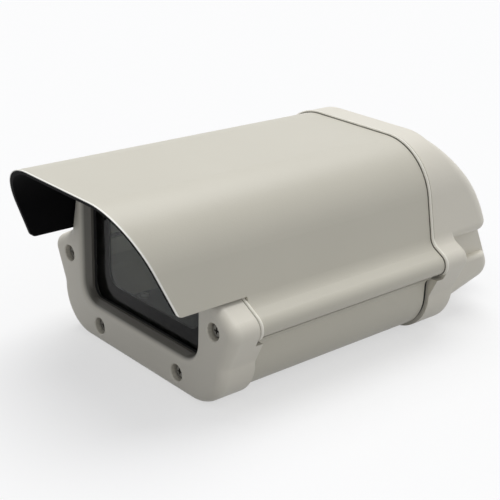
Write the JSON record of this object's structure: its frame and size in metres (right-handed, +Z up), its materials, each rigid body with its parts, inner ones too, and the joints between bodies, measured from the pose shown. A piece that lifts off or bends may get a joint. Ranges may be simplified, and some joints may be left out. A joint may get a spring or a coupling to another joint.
{
  "type": "security camera housing",
  "caption": "Side-opening camera housing with a domed top cover and visor, lower tray, window cap, hooded rear cap and rear cable glands.",
  "frame": {"origin": "centre of the four bracket holes, in the underside of the tray", "axes": "+X to the right seen from in front (the hinge side), -Y towards the window, +Y towards the cable glands, +Z up"},
  "size_m": [0.1552, 0.2792, 0.108],
  "materials": {
    "housing_paint": "satin powder coat, warm light grey",
    "black_paint": "matt black",
    "plate_paint": "matt dark grey",
    "pale_rubber": "matt cream",
    "black_rubber": "matt",
    "clear_glass": "clear, polished",
    "screw_steel": "stainless, machined",
    "brass_screw": "plain",
    "gland_plastic": "moulded black"
  },
  "bodies": {
    "housing": {"lower_tray": "housing_paint", "front_cap": "housing_paint", "rear_cap": "housing_paint", "rear_hood": "housing_paint", "front_gasket": "pale_rubber", "rear_gasket": "pale_rubber", "hinge_side_seal": "black_rubber", "closing_side_seal": "black_rubber", "window_gasket": "black_rubber", "window_glass": "clear_glass", "glass_retainer": "black_paint", "retainer_screws": "screw_steel", "front_cap_screws": "screw_steel", "rear_cap_screws": "screw_steel", "camera_plate": "plate_paint", "plate_screws": "screw_steel", "earth_screw": "brass_screw", "gland_body_left": "gland_plastic", "gland_nut_left": "gland_plastic", "gland_seal_left": "black_rubber", "gland_lock_nut_left": "gland_plastic", "gland_body_middle": "gland_plastic", "gland_nut_middle": "gland_plastic", "gland_seal_middle": "black_rubber", "gland_lock_nut_middle": "gland_plastic", "gland_body_right": "gland_plastic", "gland_nut_right": "gland_plastic", "gland_seal_right": "black_rubber", "gland_lock_nut_right": "gland_plastic"},
    "cover": {"top_cover": "housing_paint", "retaining_ring_front": "screw_steel", "retaining_ring_rear": "screw_steel"},
    "closing_screw_front": {"closing_screw_front": "screw_steel"},
    "closing_screw_rear": {"closing_screw_rear": "screw_steel"},
    "camera_screw_clip": {"camera_screw_clip": "screw_steel"},
    "camera_screw": {"camera_screw": "screw_steel"}
  },
  "joints": [
    {"name": "cover_hinge", "type": "hinge", "parent": "housing", "child": "cover", "pos_m": [0.0706, 0, 0.0424], "axis": [0, 1, 0], "range_deg": [0, 90]},
    {"name": "closing_screw_front_turn", "type": "hinge", "parent": "cover", "child": "closing_screw_front", "pos_m": [-0.0695, -0.045, 0.042], "axis": [0, 0, 1], "continuous": true},
    {"name": "closing_screw_rear_turn", "type": "hinge", "parent": "cover", "child": "closing_screw_rear", "pos_m": [-0.0695, 0.045, 0.042], "axis": [0, 0, 1], "continuous": true},
    {"name": "camera_screw_slide", "type": "slide", "parent": "housing", "child": "camera_screw_clip", "axis": [0, 1, 0], "range_m": [-0.022, 0.022]},
    {"name": "camera_screw_turn", "type": "hinge", "parent": "camera_screw_clip", "child": "camera_screw", "pos_m": [0, 0, 0.0142], "axis": [0, 0, 1], "continuous": true}
  ]
}
